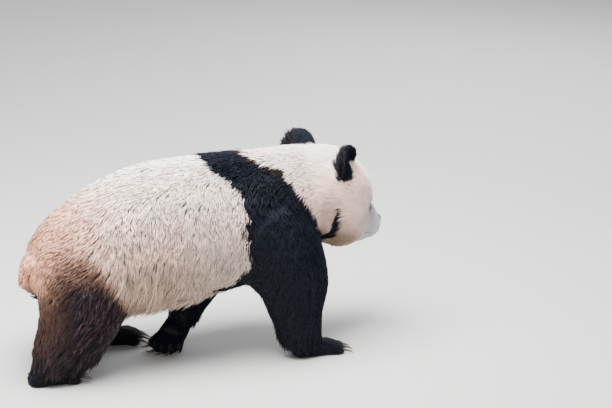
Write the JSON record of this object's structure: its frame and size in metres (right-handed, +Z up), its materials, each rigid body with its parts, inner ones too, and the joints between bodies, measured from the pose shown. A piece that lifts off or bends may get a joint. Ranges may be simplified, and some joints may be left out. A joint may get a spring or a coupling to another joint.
{
  "type": "giant panda model",
  "caption": "Life-size still model of a giant panda walking on all fours, head lowered a little and turned to its left.",
  "frame": {"origin": "on the floor under the middle of the animal's box", "axes": "+X the way the animal walks, +Y to its left, +Z up"},
  "size_m": [1.397, 0.5538, 0.7468],
  "materials": {
    "cream_coat": "long cream-white fur, warmer at the rump",
    "black_coat": "black fur with a cool sheen, brown on the hind legs",
    "nose_leather": "damp black nose leather",
    "eye": "glossy dark brown eye",
    "claw_horn": "pale horn, satin"
  },
  "bodies": {
    "root": {"head": "cream_coat", "neck": "cream_coat", "trunk": "cream_coat", "tail": "cream_coat", "ear_left": "black_coat", "ear_right": "black_coat", "foreleg_left": "black_coat", "foreleg_right": "black_coat", "hindleg_left": "black_coat", "hindleg_right": "black_coat", "forepaw_left": "black_coat", "forepaw_right": "black_coat", "hindpaw_left": "black_coat", "hindpaw_right": "black_coat", "claw_forepaw_left_1": "claw_horn", "claw_forepaw_left_2": "claw_horn", "claw_forepaw_left_3": "claw_horn", "claw_forepaw_left_4": "claw_horn", "claw_forepaw_left_5": "claw_horn", "claw_forepaw_right_1": "claw_horn", "claw_forepaw_right_2": "claw_horn", "claw_forepaw_right_3": "claw_horn", "claw_forepaw_right_4": "claw_horn", "claw_forepaw_right_5": "claw_horn", "claw_hindpaw_left_1": "claw_horn", "claw_hindpaw_left_2": "claw_horn", "claw_hindpaw_left_3": "claw_horn", "claw_hindpaw_left_4": "claw_horn", "claw_hindpaw_left_5": "claw_horn", "claw_hindpaw_right_1": "claw_horn", "claw_hindpaw_right_2": "claw_horn", "claw_hindpaw_right_3": "claw_horn", "claw_hindpaw_right_4": "claw_horn", "claw_hindpaw_right_5": "claw_horn", "eye_left": "eye", "eye_right": "eye", "nose": "nose_leather"}
  },
  "joints": []
}
